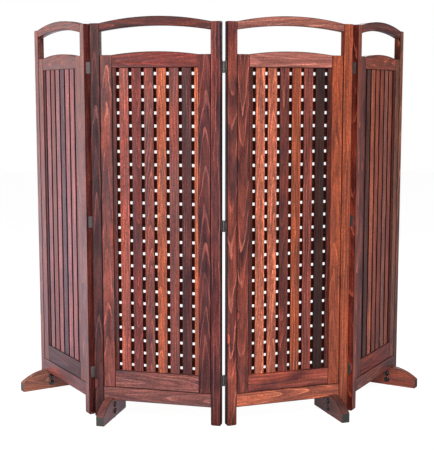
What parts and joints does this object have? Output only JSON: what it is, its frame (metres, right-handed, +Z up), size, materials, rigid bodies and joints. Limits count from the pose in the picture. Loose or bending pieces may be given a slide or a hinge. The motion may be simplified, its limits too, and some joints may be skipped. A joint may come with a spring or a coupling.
{
  "type": "folding screen",
  "caption": "Free-standing folding screen of arched wooden panels with slatted lattice fields, hinged in a row, each panel on a bolt-on foot board.",
  "frame": {"origin": "middle of the bounding box, on the floor, with the screen standing folded as it is shown", "axes": "+X from the left panel to the right panel, +Y from the convex front to the hollow back, +Z up"},
  "size_m": [1.8526, 0.6946, 1.6745],
  "materials": {
    "stained_frame_wood": "red-brown oil stain on softwood, satin",
    "stained_inner_frame_wood": "red-brown oil stain on softwood, satin",
    "stained_slat_wood": "mixed light and dark red-brown stain on softwood slats, satin",
    "stained_foot_wood": "red-brown stain on softwood, dark end grain",
    "zinc_plated_steel": "dull grey plated steel",
    "black_moulded_plastic": "glossy black moulded head on a steel shank"
  },
  "bodies": {
    "panel_1": {"left_stile_1": "stained_frame_wood", "right_stile_1": "stained_frame_wood", "arched_top_rail_1": "stained_frame_wood", "bottom_rail_1": "stained_frame_wood", "inner_frame_1": "stained_inner_frame_wood", "inner_top_rail_1": "stained_inner_frame_wood", "slat_lattice_1": "stained_slat_wood", "foot_1": "stained_foot_wood", "lower_knob_bolt_1": "black_moulded_plastic", "upper_knob_bolt_1": "black_moulded_plastic", "left_bottom_hinge_pin_leaf": "zinc_plated_steel", "left_middle_hinge_pin_leaf": "zinc_plated_steel", "left_top_hinge_pin_leaf": "zinc_plated_steel"},
    "panel_2": {"left_stile_2": "stained_frame_wood", "right_stile_2": "stained_frame_wood", "arched_top_rail_2": "stained_frame_wood", "bottom_rail_2": "stained_frame_wood", "inner_frame_2": "stained_inner_frame_wood", "inner_top_rail_2": "stained_inner_frame_wood", "slat_lattice_2": "stained_slat_wood", "foot_2": "stained_foot_wood", "lower_knob_bolt_2": "black_moulded_plastic", "upper_knob_bolt_2": "black_moulded_plastic", "left_bottom_hinge_bored_leaf": "zinc_plated_steel", "left_middle_hinge_bored_leaf": "zinc_plated_steel", "left_top_hinge_bored_leaf": "zinc_plated_steel", "centre_bottom_hinge_pin_leaf": "zinc_plated_steel", "centre_middle_hinge_pin_leaf": "zinc_plated_steel", "centre_top_hinge_pin_leaf": "zinc_plated_steel"},
    "panel_3": {"left_stile_3": "stained_frame_wood", "right_stile_3": "stained_frame_wood", "arched_top_rail_3": "stained_frame_wood", "bottom_rail_3": "stained_frame_wood", "inner_frame_3": "stained_inner_frame_wood", "inner_top_rail_3": "stained_inner_frame_wood", "slat_lattice_3": "stained_slat_wood", "foot_3": "stained_foot_wood", "lower_knob_bolt_3": "black_moulded_plastic", "upper_knob_bolt_3": "black_moulded_plastic", "centre_bottom_hinge_bored_leaf": "zinc_plated_steel", "centre_middle_hinge_bored_leaf": "zinc_plated_steel", "centre_top_hinge_bored_leaf": "zinc_plated_steel", "right_bottom_hinge_pin_leaf": "zinc_plated_steel", "right_middle_hinge_pin_leaf": "zinc_plated_steel", "right_top_hinge_pin_leaf": "zinc_plated_steel"},
    "panel_4": {"left_stile_4": "stained_frame_wood", "right_stile_4": "stained_frame_wood", "arched_top_rail_4": "stained_frame_wood", "bottom_rail_4": "stained_frame_wood", "inner_frame_4": "stained_inner_frame_wood", "inner_top_rail_4": "stained_inner_frame_wood", "slat_lattice_4": "stained_slat_wood", "foot_4": "stained_foot_wood", "lower_knob_bolt_4": "black_moulded_plastic", "upper_knob_bolt_4": "black_moulded_plastic", "right_bottom_hinge_bored_leaf": "zinc_plated_steel", "right_middle_hinge_bored_leaf": "zinc_plated_steel", "right_top_hinge_bored_leaf": "zinc_plated_steel"}
  },
  "joints": [
    {"name": "left_fold", "type": "hinge", "parent": "panel_2", "child": "panel_1", "pos_m": [-0.54794, -0.15322, 0.832], "axis": [0, 0, -1], "range_deg": [-49.5, 50.5]},
    {"name": "centre_fold", "type": "hinge", "parent": "panel_2", "child": "panel_3", "pos_m": [-0.0124, -0.31695, 0.832], "axis": [0, 0, 1], "range_deg": [-39, 36]},
    {"name": "right_fold", "type": "hinge", "parent": "panel_3", "child": "panel_4", "pos_m": [0.52313, -0.15322, 0.832], "axis": [0, 0, 1], "range_deg": [-45.5, 54.5]}
  ]
}
